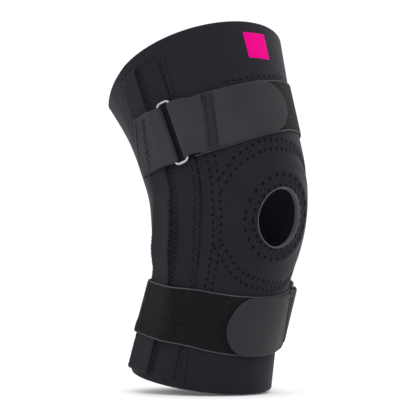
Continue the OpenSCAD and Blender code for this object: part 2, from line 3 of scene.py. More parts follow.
import bpy
import numpy as np
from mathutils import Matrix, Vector


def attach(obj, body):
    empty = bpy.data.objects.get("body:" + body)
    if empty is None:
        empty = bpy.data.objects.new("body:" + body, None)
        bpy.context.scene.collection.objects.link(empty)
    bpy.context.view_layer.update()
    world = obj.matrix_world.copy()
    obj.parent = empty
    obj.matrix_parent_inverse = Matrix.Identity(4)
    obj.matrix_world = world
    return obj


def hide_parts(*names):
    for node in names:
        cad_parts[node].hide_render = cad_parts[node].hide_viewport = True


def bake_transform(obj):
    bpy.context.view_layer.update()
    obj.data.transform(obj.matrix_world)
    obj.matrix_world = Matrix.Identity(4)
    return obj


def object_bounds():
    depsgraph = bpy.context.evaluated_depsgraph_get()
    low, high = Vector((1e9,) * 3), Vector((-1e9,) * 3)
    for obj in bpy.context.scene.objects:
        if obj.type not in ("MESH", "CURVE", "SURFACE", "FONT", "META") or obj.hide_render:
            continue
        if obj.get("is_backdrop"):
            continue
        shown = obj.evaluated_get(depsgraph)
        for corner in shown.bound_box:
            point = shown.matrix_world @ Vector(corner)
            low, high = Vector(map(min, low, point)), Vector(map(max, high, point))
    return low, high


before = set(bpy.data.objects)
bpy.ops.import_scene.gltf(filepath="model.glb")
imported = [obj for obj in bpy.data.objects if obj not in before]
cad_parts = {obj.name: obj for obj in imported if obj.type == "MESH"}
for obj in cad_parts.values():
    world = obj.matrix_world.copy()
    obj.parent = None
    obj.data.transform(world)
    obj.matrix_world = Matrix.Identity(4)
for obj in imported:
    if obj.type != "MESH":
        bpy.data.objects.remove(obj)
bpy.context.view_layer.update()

# Everything below is in millimetres, and is turned into metres where a mesh is made.
# A place on the leg is an angle u round it from the front towards -X, a station s along its
# centre line up from the knee, and a height off above the face of the sleeve.
MM = 0.001
rng = np.random.default_rng(7)

# ---------- the leg, as in the CAD part ----------
HALF_FLEX = 20.0
BEND_LEN = 60.0
BEND_R = BEND_LEN / math.radians(HALF_FLEX)
STATIONS = np.array([
    [-145, 61, 75, 65], [-95, 61.5, 60.5, 65], [-72, 60, 56, 63], [-45, 63, 57.2, 65.4], [0, 65, 71, 72],
    [45, 69, 82, 70], [95, 75, 77, 75], [155, 83, 76, 94]], float)
HALF_WIDTH, FRONT, BACK = 1, 2, 3
KNEE_HALF_WIDTH, KNEE_FRONT, CUFF_FRONT = 65.0, 71.0, 76.0
BULGE_H, BULGE_STATION, BULGE_W, BULGE_LEN = 8.0, 6.0, 80.0, 62.0
WALL = 4.0
RIM_TOP, RIM_LOW = 154.0, -144.0
RIM_TILT, RIM_TILT_BACK = math.tan(math.radians(10)), math.tan(math.radians(14))
CORNER_U, CORNER_H, CORNER_W = 131.4, 4.5, 14.0
OPENING_W, OPENING_H, OPENING_SHIFT = 44.0, 53.0, 3.5
GAP = 0.3
POCKET_FRONT, POCKET_MID, POCKET_REAR, POCKET_WALL = 62.0, 82.4, 105.5, 1.2
REAR_SLANT, MID_SLANT = 0.05, 0.022
RIM_LAND, LOW_LAND = 12.0, 6.0
ARM_LEAN, HINGE_TILT, PIVOT_BACK, PITCH_R, TIP_R = 15.0, 2.5, 3.5, 7.2, 8.01
ARM_T, CAP_T, CAP_LEN = 1.3, 0.5, 16.0
ARM_CLEAR, SEAT_LEN, JOGGLE, HARDWARE_CLEAR = 0.95, 16.0, 18.0, 0.85
ARM_LEN = {1: 118.0, -1: 108.0}
HEAD_T, PLATE_T, WASHER_T, RUNNING = 0.4, 0.7, 0.15, 0.05
STRAP_W, STRAP_T = 50.0, 1.6
UPPER_STATION, UPPER_CLIMB, LOWER_STATION, LOWER_DROP = 76.5, 16.0, -71.5, 9.6
RING_U, RING_W, WIRE_R = 69.0, 13.0, 1.2
BAND_REAR, ANCHOR_REAR, RETURN_END, TAB_START, TAB_ROUND = 119.0, 100.5, 44.0, 46.75, 20.0
ANCHOR_SLANT, TAB_SLANT = 0.286, 0.165
UPPER_TAB_END, LOWER_TAB_END = -16.0, -28.0
LOOP_R = WIRE_R + 0.4
HOOK_T = 0.8
HOOK_MARGIN, HOOK_SHORT = 4.0, 10.0
LABEL_SIZE, LABEL_U, LABEL_STATION = 25.0, -6.0, 143.5
PAD_T, PAD_START, PAD_END = 3.0, 1.06, 1.6      # the last two are multiples of the opening's size

# ---------- what only the looks need ----------
JOINT_SPAN = 7.6            # angle over which the tab's sewn joint shows
THREAD_SHOWN = 0.78         # share of a stitch that lies above the face
BAND_SHORT = 4.4            # how far the pile band stops short of the ring's bar
DIP_REACH = 9.0             # distance past which a seam no longer pulls the face in


def smooth(t):
    t = np.clip(t, 0, 1)
    return t * t * (3 - 2 * t)


def sind(a):
    return np.sin(np.radians(a))


def cosd(a):
    return np.cos(np.radians(a))


def girth(c, s):
    """Column c of the stations at s, on a cubic through them."""
    s = np.asarray(s, float)
    xs, ys = STATIONS[:, 0], STATIONS[:, c]
    before = np.maximum(np.arange(len(xs)) - 1, 0)
    after = np.minimum(np.arange(len(xs)) + 1, len(xs) - 1)
    slopes = (ys[after] - ys[before]) / (xs[after] - xs[before])
    i = np.clip(np.searchsorted(xs, s) - 1, 0, len(xs) - 2)
    h = xs[i + 1] - xs[i]
    t = (s - xs[i]) / h
    return ((2 * t**3 - 3 * t**2 + 1) * ys[i] + (t**3 - 2 * t**2 + t) * h * slopes[i]
            + (3 * t**2 - 2 * t**3) * ys[i + 1] + (t**3 - t**2) * h * slopes[i + 1])


def depth(u, s):
    return np.where(cosd(u) > 0, girth(FRONT, s), girth(BACK, s))


def centre(s):
    bent = np.clip(s, -BEND_LEN, BEND_LEN)
    lean = HALF_FLEX * bent / BEND_LEN
    past = s - bent
    return (BEND_R * (1 - cosd(lean)) + past * sind(lean), BEND_R * sind(lean) + past * cosd(lean), lean)


def corner(u, s):
    """The cuff's blunt corner on each side of the back of the thigh."""
    v = np.where(np.abs(u) > 180, 360 - np.abs(u), np.abs(u))
    return CORNER_H * np.exp(-np.abs(v - CORNER_U) / CORNER_W) * smooth((s - 95) / 60)


def on_leg(u, s, off=0.0):
    """Points, in millimetres, at angles u, stations s and heights off."""
    u, s, off = np.broadcast_arrays(np.asarray(u, float), np.asarray(s, float), np.asarray(off, float))
    a, d = girth(HALF_WIDTH, s), depth(u, s)
    nx, ny = -sind(u) / a, -cosd(u) / d
    length = np.hypot(nx, ny)
    r = np.hypot(a * sind(u) / BULGE_W, (s - BULGE_STATION) / BULGE_LEN)
    h = off + np.where(cosd(u) > 0, BULGE_H * (1 - smooth(r)), corner(u, s))
    x = -a * sind(u) + h * nx / length
    y = -d * cosd(u) + h * ny / length
    cy, cz, lean = centre(s)
    return np.stack([x, cy + y * cosd(lean), cz - y * sind(lean)], axis=-1)


def reach(u, s):
    return np.hypot(girth(HALF_WIDTH, s) * sind(u), depth(u, s) * cosd(u))


def rim(u, s0):
    tilt = np.where((cosd(u) < 0) & (s0 > 0), RIM_TILT_BACK, RIM_TILT)
    return s0 + tilt * depth(u, s0) * cosd(u)


# ---------- heights of what lies on the sleeve, as in the CAD part ----------
HINGE_X = girth(HALF_WIDTH, PITCH_R + TIP_R) + GAP
GEAR_X = HINGE_X + HEAD_T + PLATE_T + WASHER_T + RUNNING
HINGE_TOP = GEAR_X + ARM_T + RUNNING + WASHER_T + PLATE_T + HEAD_T


def arm_station(way, t):
    slope = ARM_LEAN - way * HINGE_TILT
    return way * (t * cosd(HALF_FLEX - slope) + BEND_LEN - BEND_R * sind(HALF_FLEX)
                  + PIVOT_BACK * sind(HALF_FLEX) + PITCH_R * cosd(HALF_FLEX))


def hardware_x(s):
    way = np.where(s > 0, 1, -1)
    t = np.abs(s - arm_station(way, 0))
    cap_start = np.where(s > 0, ARM_LEN[1], ARM_LEN[-1]) - CAP_LEN
    capped = CAP_T * smooth((t - cap_start + 10) / 8)
    beside = girth(HALF_WIDTH, arm_station(way, t)) + ARM_CLEAR + capped
    arm = GEAR_X + (beside - GEAR_X) * smooth((t - SEAT_LEN) / JOGGLE) + ARM_T + capped
    return HINGE_TOP + (arm - HINGE_TOP) * smooth((np.abs(s) - 18) / 12)


def front_edge(s):
    """The pocket's front edge, which bows forward at the knee."""
    return 60.7 + 3.3 * np.minimum(1, (s / 125) ** 2)


def rear_edge(s):
    return POCKET_REAR - REAR_SLANT * s


def mid_seam(s):
    return POCKET_MID - MID_SLANT * s


def over_hardware(u, s):
    return (hardware_x(s) + HARDWARE_CLEAR) / sind(u) - girth(HALF_WIDTH, s)


def pocket_inner(u, s):
    v = np.abs(u)
    up = smooth((v - mid_seam(s) - 0.2) / 1.8)
    down = 1 - smooth((v - rear_edge(s) + 2.8) / 2.4)
    return GAP + np.maximum(0, over_hardware(np.clip(v, 60, 118), s) - GAP) * up * down


def strap_mid(which, u):
    if which == "upper":
        return UPPER_STATION + UPPER_CLIMB * smooth((60 - u) / 140)
    return LOWER_STATION - LOWER_DROP * smooth((-50 - u) / 75)


def taut(which, u, s):
    low, high = strap_mid(which, u) - STRAP_W / 2, strap_mid(which, u) + STRAP_W / 2
    q = (s - low) / (high - low)
    return np.maximum(0, reach(u, low) * (1 - q) + reach(u, high) * q - reach(u, s))


def strap_under(which, u, s):
    v = np.abs(u)
    on_pocket = smooth((v - POCKET_FRONT + 6) / 5.5) * (1 - smooth((v - rear_edge(s) - 0.5) / 6.5))
    rise = np.where(u > 0, 7.0, 20.0)
    hump = smooth((v - mid_seam(s) + rise) / (rise + 0.5)) * (1 - smooth((v - rear_edge(s) + 4) / 13))
    over = np.maximum(0, over_hardware(np.clip(v, 45, rear_edge(s) + 2), s) - GAP)
    return GAP + 0.1 + (GAP + POCKET_WALL) * on_pocket + over * hump + taut(which, u, s)


WIRE_OFF = 3 * GAP + POCKET_WALL + STRAP_T + LOOP_R
TURN_R = LOOP_R + STRAP_T / 2


def bar_angle(side, s):
    return RING_U + np.degrees(side * RING_W / 2 / (reach(RING_U, s) + WIRE_OFF))


def unit(v):
    return v / np.linalg.norm(v, axis=-1, keepdims=True)


def ring_frame(which):
    """The ring's middle, its directions rearwards, out of the leg and along its bars, and their length."""
    mid = float(strap_mid(which, np.float64(RING_U)))
    low = on_leg(RING_U, mid - STRAP_W / 2, WIRE_OFF)
    high = on_leg(RING_U, mid + STRAP_W / 2, WIRE_OFF)
    along = unit(high - low)
    rearwards = on_leg(RING_U + 4, mid, WIRE_OFF) - on_leg(RING_U - 4, mid, WIRE_OFF)
    out = -unit(np.cross(rearwards, along))
    return (low + high) / 2, -np.cross(along, out), out, along, np.linalg.norm(high - low) / STRAP_W


def by_bar(which, side, s, rearwards, out):
    """A point beside the ring's bar, level with station s."""
    middle, back, outwards, along, stretch = ring_frame(which)
    s, rearwards, out = (np.asarray(v, float)[..., None] for v in np.broadcast_arrays(s, rearwards, out))
    q = (s - strap_mid(which, np.float64(RING_U))) * stretch
    return middle + back * (side * RING_W / 2 + rearwards) + outwards * out + along * q


def round_bar(which, side, s, a):
    return by_bar(which, side, s, TURN_R * cosd(a), TURN_R * sind(a))


def beside_bar(which, side, s, u, out):
    return by_bar(which, side, s, np.radians(u - bar_angle(side, s)) * (reach(RING_U, s) + WIRE_OFF), out)


def band_top(which, u, s):
    return strap_under(which, u, s) + STRAP_T + GAP


def risen(u, s):
    """How far the webbing has risen from the pile band to the ring."""
    return smooth((u - bar_angle(-1, s) + 14) / 12)


def tab_under(which, u, s):
    lap = WIRE_OFF + TURN_R + taut(which, u, s) - STRAP_T / 2 - band_top(which, u, s)
    return band_top(which, u, s) + HOOK_T + (lap * risen(u, s) + STRAP_T + 0.15 - HOOK_T) * smooth(
        (u - RETURN_END + 9) / 8)


def anchor_rear(which, s):
    return ANCHOR_REAR - ANCHOR_SLANT * (s - strap_mid(which, RING_U))


def anchor_upper(which, u, s):
    """The anchor loop's top layer, between the ring and its sewn end."""
    back = (u - bar_angle(1, s)) / (anchor_rear(which, s) - bar_angle(1, s))
    w = smooth(back * 2.2)[..., None]
    sewn = on_leg(u, s, strap_under(which, u, s) + 1.5 * STRAP_T + 0.25)
    return beside_bar(which, 1, s, u, TURN_R) * (1 - w) + sewn * w


# ---------- seams ----------
class Seam:
    """A stitched line through control points (u, s), with rungs across it."""

    def __init__(self, points, width, pitch, depth=0.9, spread=2.6, closed=False):
        p = np.array(points, float)
        self.width, self.pitch, self.depth, self.spread = width, pitch, depth, spread
        t = np.arange(len(p))
        fine = np.linspace(0, len(p) - 1, 60 * (len(p) - 1) + 1)
        self.line = np.stack([catmull(t, p[:, 0], fine, closed), catmull(t, p[:, 1], fine, closed)], axis=1)

    def mirrored(self):
        other = Seam.__new__(Seam)
        other.__dict__.update(self.__dict__)
        other.line = self.line * [-1, 1]
        return other


def catmull(xs, ys, at, closed=False):
    i = np.clip(np.searchsorted(xs, at, side="right") - 1, 0, len(xs) - 2)
    t = at - xs[i]
    last = len(xs) - 1
    before = ys[(i - 1) % last] if closed else ys[np.maximum(i - 1, 0)]
    after = ys[(i + 2) % last] if closed else ys[np.minimum(i + 2, last)]
    m0, m1 = (ys[i + 1] - before) / 2, (after - ys[i]) / 2
    return ((2 * t**3 - 3 * t**2 + 1) * ys[i] + (t**3 - 2 * t**2 + t) * m0
            + (3 * t**2 - 2 * t**3) * ys[i + 1] + (t**3 - t**2) * m1)


def rows(edge, low, high, count=9):
    """A seam that follows edge(s) between two stations."""
    return [(edge(s), s) for s in np.linspace(low, high, count)]


SPREAD = 1 + (KNEE_FRONT + BULGE_H) * math.radians(HALF_FLEX) / BEND_LEN


def ring_points(outside, count=24):
    """Points round the kneecap opening, a distance outside its edge, as (u, s)."""
    out = []
    for k in range(count + 1):
        a = 2 * math.pi * k / count
        s = BULGE_STATION + (OPENING_H / 2 + outside) * math.sin(a) / SPREAD
        x = OPENING_SHIFT + (OPENING_W / 2 + outside) * math.cos(a)
        out.append((math.degrees(math.asin(x / (girth(HALF_WIDTH, s) + BULGE_H / 2))), s))
    return out


def pocket_top(u):
    return rim(u, RIM_TOP) - RIM_LAND


def pocket_low(u):
    return rim(u, RIM_LOW) + LOW_LAND


# each seam's numbers are its width, the pitch of its stitches, and the depth and spread of its dip
pocket_front_line = [
    (58.5, -134), (58.5, -103), (61.5, -45), (64.5, -4), (63.2, 29.5), (62.2, 116.5), (60, 147)]
pocket_top_angles = np.linspace(front_edge(140) + 1.5, rear_edge(140) - 1, 6)
side_seams = [
    Seam(rows(lambda s: rear_edge(s) - 1.3, pocket_low(106) + 2, pocket_top(98) - 2), 3.0, 4.0, 0.7, 2.0),
    Seam(rows(mid_seam, pocket_low(86) + 2, pocket_top(80) - 2), 3.6, 4.2, 0.9, 2.2),
    Seam(pocket_front_line, 4.2, 3.8, 0.7, 2.2),
    Seam([(u, pocket_top(u) - 2) for u in pocket_top_angles], 3.0, 4.0),
]
panel_seams = [
    Seam([(48.3, -66), (48.5, -34.5), (49, -4), (50.3, 18.5), (51, 41), (51.6, 56)], 6.4, 2.6, 0.8, 3.0),
]
arch_above = [
    (48.5, 27), (42, 35), (34.5, 42), (23, 47), (13, 50), (-7, 50), (-24, 46.5), (-38, 38), (-48.5, 26)]
arch_below = [
    (48, -12), (39, -21.5), (29.5, -30), (15, -36), (-4.5, -39), (-24, -39), (-38, -33), (-48.5, -20)]
above_strap = [(u, strap_mid("upper", np.float64(u)) + STRAP_W / 2 + 2.2) for u in (27, 14, 0, -13, -26)]
front_seams = [
    Seam(arch_above, 5.8, 3.1, 1.1, 3.2),
    Seam(arch_below, 5.8, 3.1, 1.1, 3.2),
    Seam(ring_points(6.2), 6.4, 3.1, 1.1, 3.4, closed=True),
    Seam(above_strap, 5.5, 3.4, 0.5, 2.6),
]
sleeve_seams = panel_seams + [p.mirrored() for p in panel_seams] + front_seams
pocket_seams = side_seams + [p.mirrored() for p in side_seams]


def arc_mm(u, s):
    """Rough distances round the leg, for measuring between nearby points."""
    return np.radians(u) * (girth(HALF_WIDTH, s) + 3)


def seam_dip(seams, u, s):
    """How far the stitching pulls a face in, at each point."""
    dip = np.zeros(np.shape(u))
    x, y = arc_mm(u, s).ravel(), np.asarray(s, float).ravel()
    flat = dip.ravel()
    for seam in seams:
        lx, ly = arc_mm(seam.line[:, 0], seam.line[:, 1]), seam.line[:, 1]
        beside = (x > lx.min() - DIP_REACH) & (x < lx.max() + DIP_REACH)
        level = (y > ly.min() - DIP_REACH) & (y < ly.max() + DIP_REACH)
        near = (beside & level).nonzero()[0]
        for part in np.array_split(near, max(1, len(near) // 4000)):
            d2 = ((x[part, None] - lx[::4]) ** 2 + (y[part, None] - ly[::4]) ** 2).min(axis=1)
            flat[part] = np.maximum(flat[part], seam.depth * np.exp(-d2 / seam.spread**2))
    return flat.reshape(np.shape(u))


def swell(u, s):
    """The foam ring under the kneecap panel, and the soft folds round it."""
    v = np.where(np.abs(u) > 180, 360 - np.abs(u), np.abs(u))
    x = girth(HALF_WIDTH, s) * sind(u) - OPENING_SHIFT
    r = np.hypot(x * OPENING_H / OPENING_W, (s - BULGE_STATION) * SPREAD)
    front = cosd(u) > 0
    ring = 1.6 * np.exp(-((r - 39) / 6.5) ** 2)
    fold = -1.3 * np.exp(-((s - 43.6 + 10 * (v / 37.5) ** 4) / 3.0) ** 2) * smooth((44 - v) / 16)
    waves = (0.35 * np.sin(s / 17 + 1.3 * cosd(u + 40)) * cosd(2 * u + 30)
             + 0.25 * np.sin(s / 9.0 + 2.2 * sind(u - 70)) * (1 - front))
    back = 1.1 * (1 - smooth((180 - v) / 55)) * np.sin(s / 5.2 + 1.5 * sind(3 * u)) * np.exp(-(s / 42) ** 2)
    return front * (ring + fold) + waves * 0.5 + back


def sleeve_face(u, s):
    wrapped = np.where(u > 180, u - 360, u)
    return swell(u, s) - seam_dip(sleeve_seams, wrapped, s) - 0.35 * (np.abs(np.abs(wrapped) - 88) < 23)


def pocket_face(u, s):
    return pocket_inner(u, s) + POCKET_WALL - 0.8 * seam_dip(pocket_seams, u, s)


def side_face(u, s):
    """The pocket's face where there is one, and otherwise the sleeve's."""
    return np.where(np.abs(u) > front_edge(s) + 0.3, pocket_face(u, s), sleeve_face(u, s))


# ---------- materials ----------
def material(name, colour, rough, metal=0.0, sheen=0.0):
    m = bpy.data.materials.new(name)
    m.use_nodes = True
    shader = m.node_tree.nodes["Principled BSDF"]
    shader.inputs["Base Color"].default_value = (*colour, 1)
    shader.inputs["Roughness"].default_value = rough
    shader.inputs["Metallic"].default_value = metal
    shader.inputs["Specular IOR Level"].default_value = 0.5 if metal or rough < 0.5 else 0.16
    shader.inputs["Sheen Weight"].default_value = sheen
    shader.inputs["Sheen Roughness"].default_value = 0.45
    return m


def node(m, kind, **values):
    n = m.node_tree.nodes.new(kind)
    for key, value in values.items():
        setattr(n, key, value)
    return n


def link(m, a, b):
    m.node_tree.links.new(a, b)


def place_nodes(m, scale, uv=False):
    coord = node(m, "ShaderNodeTexCoord")
    mapping = node(m, "ShaderNodeMapping")
    mapping.inputs["Scale"].default_value = scale
    link(m, coord.outputs["UV" if uv else "Object"], mapping.inputs["Vector"])
    return mapping.outputs["Vector"]


def noise(m, vector, scale, detail=3.0, rough=0.55):
    n = node(m, "ShaderNodeTexNoise")
    n.inputs["Scale"].default_value = scale
    n.inputs["Detail"].default_value = detail
    n.inputs["Roughness"].default_value = rough
    link(m, vector, n.inputs["Vector"])
    return n.outputs["Fac"]


def wave(m, vector, scale, axis="X", distortion=0.0):
    n = node(m, "ShaderNodeTexWave", bands_direction=axis)
    n.inputs["Scale"].default_value = scale
    n.inputs["Distortion"].default_value = distortion
    link(m, vector, n.inputs["Vector"])
    return n.outputs["Fac"]


def blend_colours(m, fac, low, high, at=(0.35, 0.65)):
    ramp = node(m, "ShaderNodeValToRGB")
    ramp.color_ramp.elements[0].position, ramp.color_ramp.elements[1].position = at
    ramp.color_ramp.elements[0].color = (*low, 1)
    ramp.color_ramp.elements[1].color = (*high, 1)
    link(m, fac, ramp.inputs["Fac"])
    link(m, ramp.outputs["Color"], m.node_tree.nodes["Principled BSDF"].inputs["Base Color"])


def maths(m, operation, a, b):
    n = node(m, "ShaderNodeMath", operation=operation)
    for socket, value in zip(n.inputs, (a, b)):
        if isinstance(value, (int, float)):
            socket.default_value = value
        else:
            link(m, value, socket)
    return n.outputs["Value"]


def weighted(m, a, b, share):
    """a and b mixed, a making up the given share."""
    return maths(m, "ADD", maths(m, "MULTIPLY", a, share), maths(m, "MULTIPLY", b, 1 - share))


def bump(m, height, strength, distance):
    n = node(m, "ShaderNodeBump")
    n.inputs["Strength"].default_value = strength
    n.inputs["Distance"].default_value = distance
    link(m, height, n.inputs["Height"])
    link(m, n.outputs["Normal"], m.node_tree.nodes["Principled BSDF"].inputs["Normal"])


def vary_roughness(m, fac, low, high):
    n = node(m, "ShaderNodeMapRange")
    n.inputs["To Min"].default_value, n.inputs["To Max"].default_value = low, high
    link(m, fac, n.inputs["Value"])
    link(m, n.outputs["Result"], m.node_tree.nodes["Principled BSDF"].inputs["Roughness"])


def knit(name, low, high, rough=0.85, sheen=0.35, depth_mm=0.12):
    """Jersey face: columns of small loops, in the piece's UV, which is in millimetres."""
    m = material(name, low, rough, sheen=sheen)
    uv = place_nodes(m, (1, 1, 1), uv=True)
    loops = maths(m, "MULTIPLY", wave(m, uv, 0.36, "X"), wave(m, uv, 0.3, "Y"))
    cloud = noise(m, place_nodes(m, (1, 1, 1)), 45.0, 4.0)
    fine = noise(m, uv, 1.4, 2.0)
    blend_colours(m, weighted(m, cloud, fine, 0.75), low, high)
    vary_roughness(m, cloud, rough - 0.08, rough + 0.08)
    bump(m, maths(m, "ADD", loops, maths(m, "MULTIPLY", fine, 0.8)), 0.55, depth_mm * MM)
    return m


def webbing(name, low, high, rough=0.7, sheen=0.25):
    """Plain weave with close ribs across the strap."""
    m = material(name, low, rough, sheen=sheen)
    uv = place_nodes(m, (1, 1, 1), uv=True)
    weave = maths(m, "ADD", wave(m, uv, 0.42, "X", 0.4), wave(m, uv, 0.3, "Y", 0.4))
    fine = noise(m, uv, 1.1, 3.0)
    cloud = noise(m, place_nodes(m, (1, 1, 1)), 30.0, 4.0)
    blend_colours(m, weighted(m, cloud, fine, 0.6), low, high)
    vary_roughness(m, fine, rough - 0.06, rough + 0.08)
    bump(m, maths(m, "ADD", weave, fine), 0.4, 0.1 * MM)
    return m


def nap(name, low, high, scale, depth_mm):
    """A raised, noisy surface: looped pile, or a field of hooks."""
    m = material(name, low, 0.95, sheen=0.05)
    uv = place_nodes(m, (1, 1, 1), uv=True)
    cells = node(m, "ShaderNodeTexVoronoi")
    cells.inputs["Scale"].default_value = scale
    link(m, uv, cells.inputs["Vector"])
    grain = noise(m, uv, scale * 0.9, 4.0, 0.7)
    tufts = maths(m, "SUBTRACT", 1.5, cells.outputs["Distance"])
    blend_colours(m, maths(m, "MULTIPLY", grain, tufts), low, high, (0.36, 0.72))
    bump(m, maths(m, "ADD", grain, maths(m, "SUBTRACT", 1.0, cells.outputs["Distance"])), 0.9, depth_mm * MM)
    return m


def metal(name, low, high, rough, scratch=(1, 1, 12)):
    m = material(name, low, rough, metal=1.0)
    at = place_nodes(m, scratch)
    streaks = noise(m, at, 160.0, 5.0, 0.7)
    cloud = noise(m, place_nodes(m, (1, 1, 1)), 70.0, 3.0)
    blend_colours(m, cloud, low, high)
    vary_roughness(m, streaks, rough - 0.1, rough + 0.15)
    bump(m, streaks, 0.15, 0.05 * MM)
    return m


def plastic(name, low, high, rough):
    m = material(name, low, rough)
    grain = noise(m, place_nodes(m, (1, 1, 1)), 900.0, 3.0)
    cloud = noise(m, place_nodes(m, (1, 1, 1)), 50.0, 3.0)
    blend_colours(m, cloud, low, high)
    vary_roughness(m, cloud, rough - 0.06, rough + 0.1)
    bump(m, grain, 0.3, 0.05 * MM)
    return m


NEOPRENE = knit("neoprene_face", (0.0050, 0.0044, 0.0079), (0.0080, 0.0071, 0.0119), sheen=0.08)
POCKET = knit("pocket_knit", (0.0036, 0.0031, 0.0062), (0.0057, 0.0050, 0.0096), 0.82, 0.08)
LINING = knit("lining_knit", (0.0190, 0.0185, 0.0270), (0.0310, 0.0300, 0.0430), 0.92, 0.02, 0.08)
FOAM_EDGE = knit("cut_edge", (0.038, 0.036, 0.050), (0.062, 0.059, 0.078), 0.7, 0.1, 0.05)
THREAD = webbing("thread", (0.0085, 0.0076, 0.0125), (0.0155, 0.0140, 0.0215), 0.6, 0.1)
THREAD_DARK = webbing("thread_dark", (0.0025, 0.0023, 0.0032), (0.0050, 0.0046, 0.0062), 0.7, 0.05)
# near-black discs at the ends of stitches: painted shade of the needle holes
HOLE_SHADE = plastic("needle_hole_shade", (0.0006, 0.0006, 0.0008), (0.0010, 0.0010, 0.0014), 0.95)
WEBBING = webbing("strap_webbing", (0.0140, 0.0140, 0.0168), (0.0202, 0.0202, 0.0236), sheen=0.08)
JOINT = webbing("strap_joint", (0.0075, 0.0074, 0.0092), (0.0140, 0.0139, 0.0165), 0.8, 0.06)
ANCHOR = webbing("anchor_webbing", (0.0142, 0.0130, 0.0165), (0.0250, 0.0232, 0.0282), 0.75, 0.08)
PILE = nap("strap_pile", (0.0007, 0.0006, 0.0009), (0.0060, 0.0054, 0.0072), 0.75, 0.5)
SELVEDGE = webbing("selvedge", (0.030, 0.030, 0.034), (0.052, 0.052, 0.059), 0.65, 0.1)
HOOKS = nap("hook_field", (0.002, 0.002, 0.003), (0.010, 0.010, 0.012), 1.3, 0.35)
LABEL = webbing("label_cloth", (0.53, 0.0, 0.150), (0.64, 0.0, 0.192), 0.6, 0.0)
LABEL.node_tree.nodes["Principled BSDF"].inputs["Specular IOR Level"].default_value = 0.03
PAD = knit("pad_foam", (0.008, 0.008, 0.010), (0.014, 0.014, 0.017), 0.9, 0.05, 0.1)
STEEL = metal("ring_steel", (0.22, 0.22, 0.235), (0.36, 0.36, 0.38), 0.42)
ALUMINIUM = metal("arm_aluminium", (0.55, 0.56, 0.58), (0.70, 0.71, 0.73), 0.35)
PLATE = metal("plate_steel", (0.38, 0.39, 0.41), (0.52, 0.53, 0.56), 0.32)
RIVET = metal("rivet_steel", (0.60, 0.61, 0.63), (0.75, 0.76, 0.79), 0.22, (1, 1, 1))
NYLON = plastic("washer_nylon", (0.60, 0.58, 0.52), (0.75, 0.73, 0.68), 0.45)
CAP = plastic("cap_plastic", (0.008, 0.008, 0.009), (0.020, 0.020, 0.022), 0.5)


# ---------- meshes ----------
def make(name, points, faces, materials, uv=None, face_materials=None, normals=None):
    """A mesh object from points in millimetres. uv is one pair per point, in millimetres."""
    mesh = bpy.data.meshes.new(name)
    mesh.from_pydata((np.asarray(points) * MM).tolist(), [], [list(map(int, f)) for f in faces])
    for m in materials:
        mesh.materials.append(m)
    if face_materials is not None:
        mesh.polygons.foreach_set("material_index", np.asarray(face_materials, np.int32))
    mesh.polygons.foreach_set("use_smooth", np.ones(len(mesh.polygons), bool))
    loops = np.zeros(len(mesh.loops), np.int32)
    mesh.loops.foreach_get("vertex_index", loops)
    if uv is not None:
        layer = mesh.uv_layers.new(name="uv_mm")
        layer.data.foreach_set("uv", np.asarray(uv, np.float32)[loops].ravel())
    if normals is not None:
        mesh.normals_split_custom_set_from_vertices(np.asarray(normals, float).tolist())
    mesh.update()
    obj = bpy.data.objects.new(name, mesh)
    bpy.context.scene.collection.objects.link(obj)
    return obj


def grid_normals(p, wrap=False):
    """Unit normals of a grid of points, with u along the first axis and s along the second."""
    if wrap:
        du = np.roll(p, -1, axis=0) - np.roll(p, 1, axis=0)
    else:
        du = np.gradient(p, axis=0)
    ds = np.gradient(p, axis=1)
    n = np.cross(ds, du)
    return n / np.maximum(np.linalg.norm(n, axis=-1, keepdims=True), 1e-9)


def bend_at_knee(obj):
    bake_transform(obj)
    return obj


def boundary_edges(faces):
    """Directed edges that only one face uses, reversed so that a wall on them faces outwards."""
    seen = {}
    for f in faces:
        for a, b in zip(f, np.roll(f, -1)):
            seen[(int(a), int(b))] = True
    return [(b, a) for a, b in seen if (b, a) not in seen]


def grid_faces(n, m):
    """Quads of a grid of n by m points."""
    index = np.arange(n * m).reshape(n, m)
    return np.stack([index[:-1, :-1], index[:-1, 1:], index[1:, 1:], index[1:, :-1]], -1).reshape(-1, 4)


def sheet_faces(quads, size, open_edge=frozenset()):
    """Outer faces, inner faces and walls of a sheet whose size outer points come before its inner ones.

    No wall is made between two points of open_edge."""
    faces = [tuple(f) for f in quads]
    walls = [(a, b, size + b, size + a) for a, b in boundary_edges(faces) if not {a, b} <= open_edge]
    return faces, [tuple(size + f[::-1]) for f in quads], walls


# ---------- sleeve ----------
def stations_for(u, half, count=78, edge=(0.0, 0.25, 0.7, 1.4, 2.4)):
    """Stations from the knee to a rim, close together at the rim."""
    end = rim(u, RIM_TOP if half == "upper" else RIM_LOW)
    sign = 1 if half == "upper" else -1
    inner = np.linspace(0, 1, count)[None, :] * (end - sign * edge[-1])[:, None]
    outer = end[:, None] - sign * np.array(edge[-2::-1])[None, :]
    return np.concatenate([inner, outer], axis=1)


OPENING_Z = float(on_leg(0, BULGE_STATION)[2])


def from_opening(points):
    """Distance from the opening's middle, as a multiple of its size."""
    across = (points[..., 0] + OPENING_SHIFT) * 2 / OPENING_W
    return np.hypot(across, (points[..., 2] - OPENING_Z) * 2 / OPENING_H)


ROLL = 1.9                  # radius of the sleeve's rolled rims


